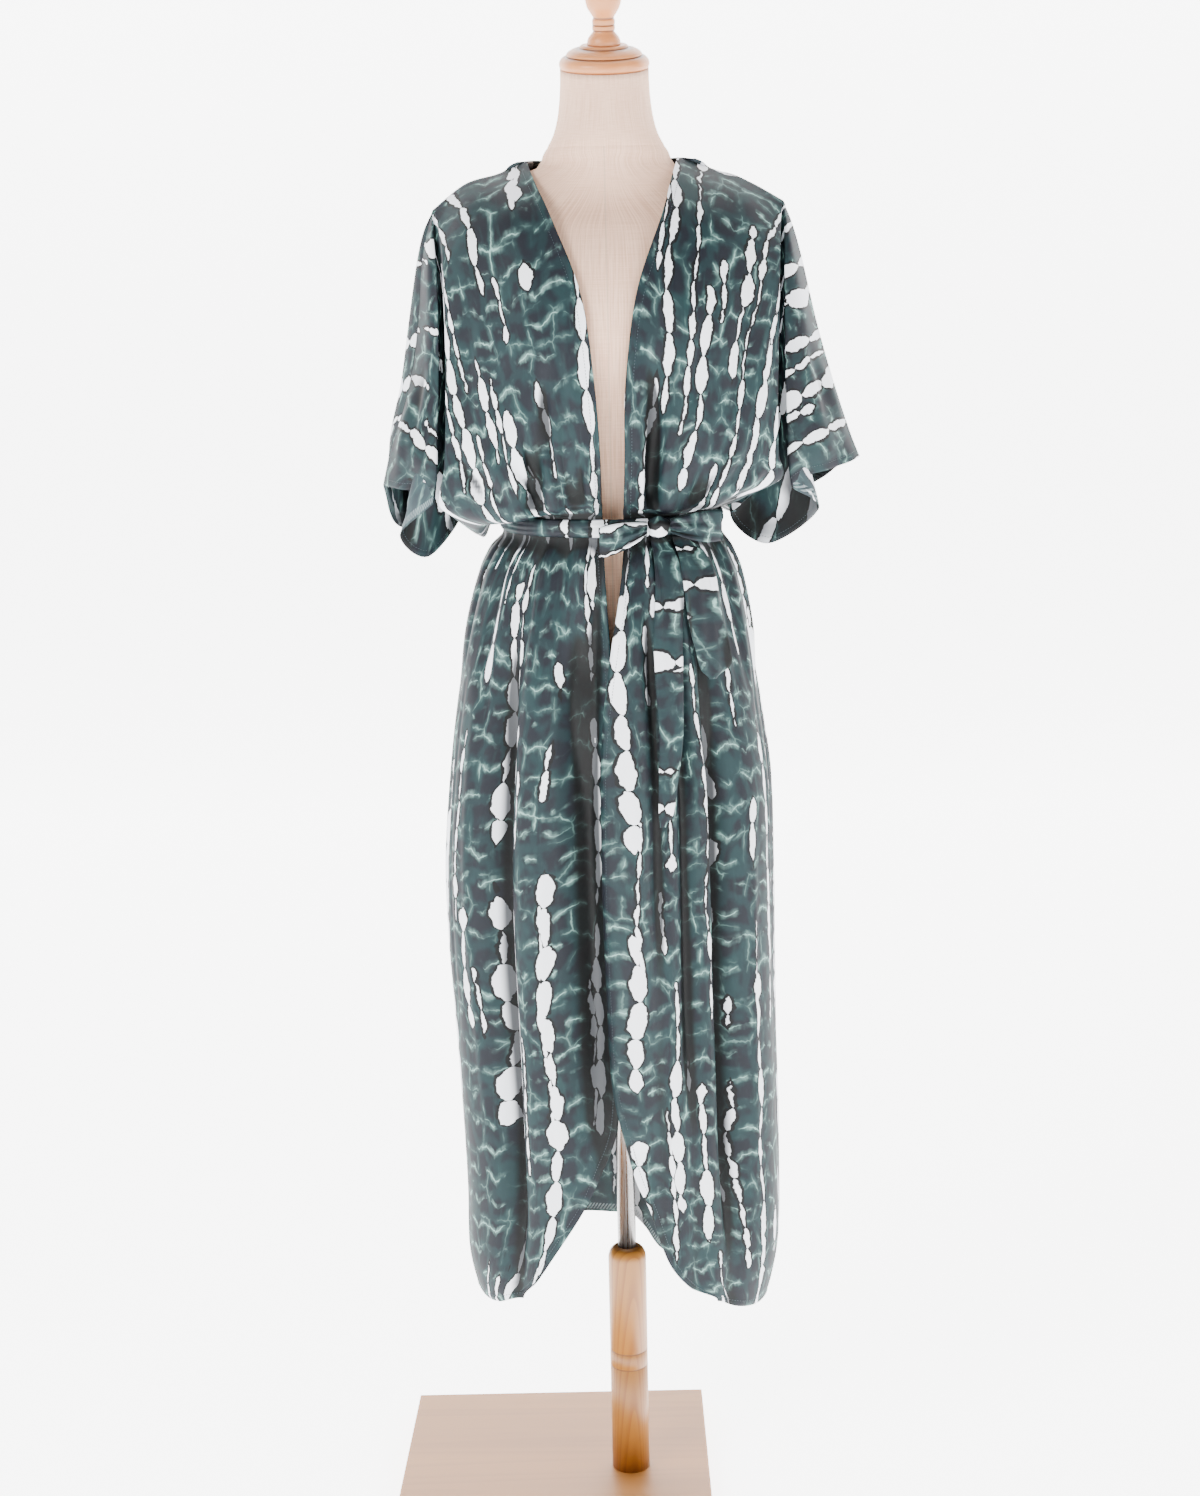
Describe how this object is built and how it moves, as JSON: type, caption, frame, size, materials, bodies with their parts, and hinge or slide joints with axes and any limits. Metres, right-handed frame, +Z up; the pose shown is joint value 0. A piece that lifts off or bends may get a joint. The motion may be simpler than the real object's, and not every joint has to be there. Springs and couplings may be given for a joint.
{
  "type": "kimono dress on a dress form",
  "caption": "Mid-calf kimono dress with wide half sleeves, a low front opening and a tied belt, worn by a limbless dress form on a pole with a wooden base.",
  "frame": {"origin": "on the floor, under the middle of the pole", "axes": "+Z up, -Y the way the dress faces, +X to the viewer's right as the front is looked at"},
  "size_m": [0.493, 0.323, 1.5633],
  "materials": {
    "printed_cloth": "light smooth woven cloth with a dyed pattern",
    "form_linen": "stretched plain linen",
    "turned_wood": "satin varnish",
    "board_wood": "satin varnish",
    "steel": "brushed"
  },
  "bodies": {
    "root": {"front_right": "printed_cloth", "front_left": "printed_cloth", "back": "printed_cloth", "belt_band": "printed_cloth", "belt_knot": "printed_cloth", "bow_loop_right": "printed_cloth", "bow_loop_left": "printed_cloth", "belt_tail_long": "printed_cloth", "belt_tail_short": "printed_cloth", "form_torso": "form_linen", "neck_cap": "turned_wood", "finial": "turned_wood", "pole": "steel", "dowel": "turned_wood", "base_plate": "board_wood"}
  },
  "joints": []
}
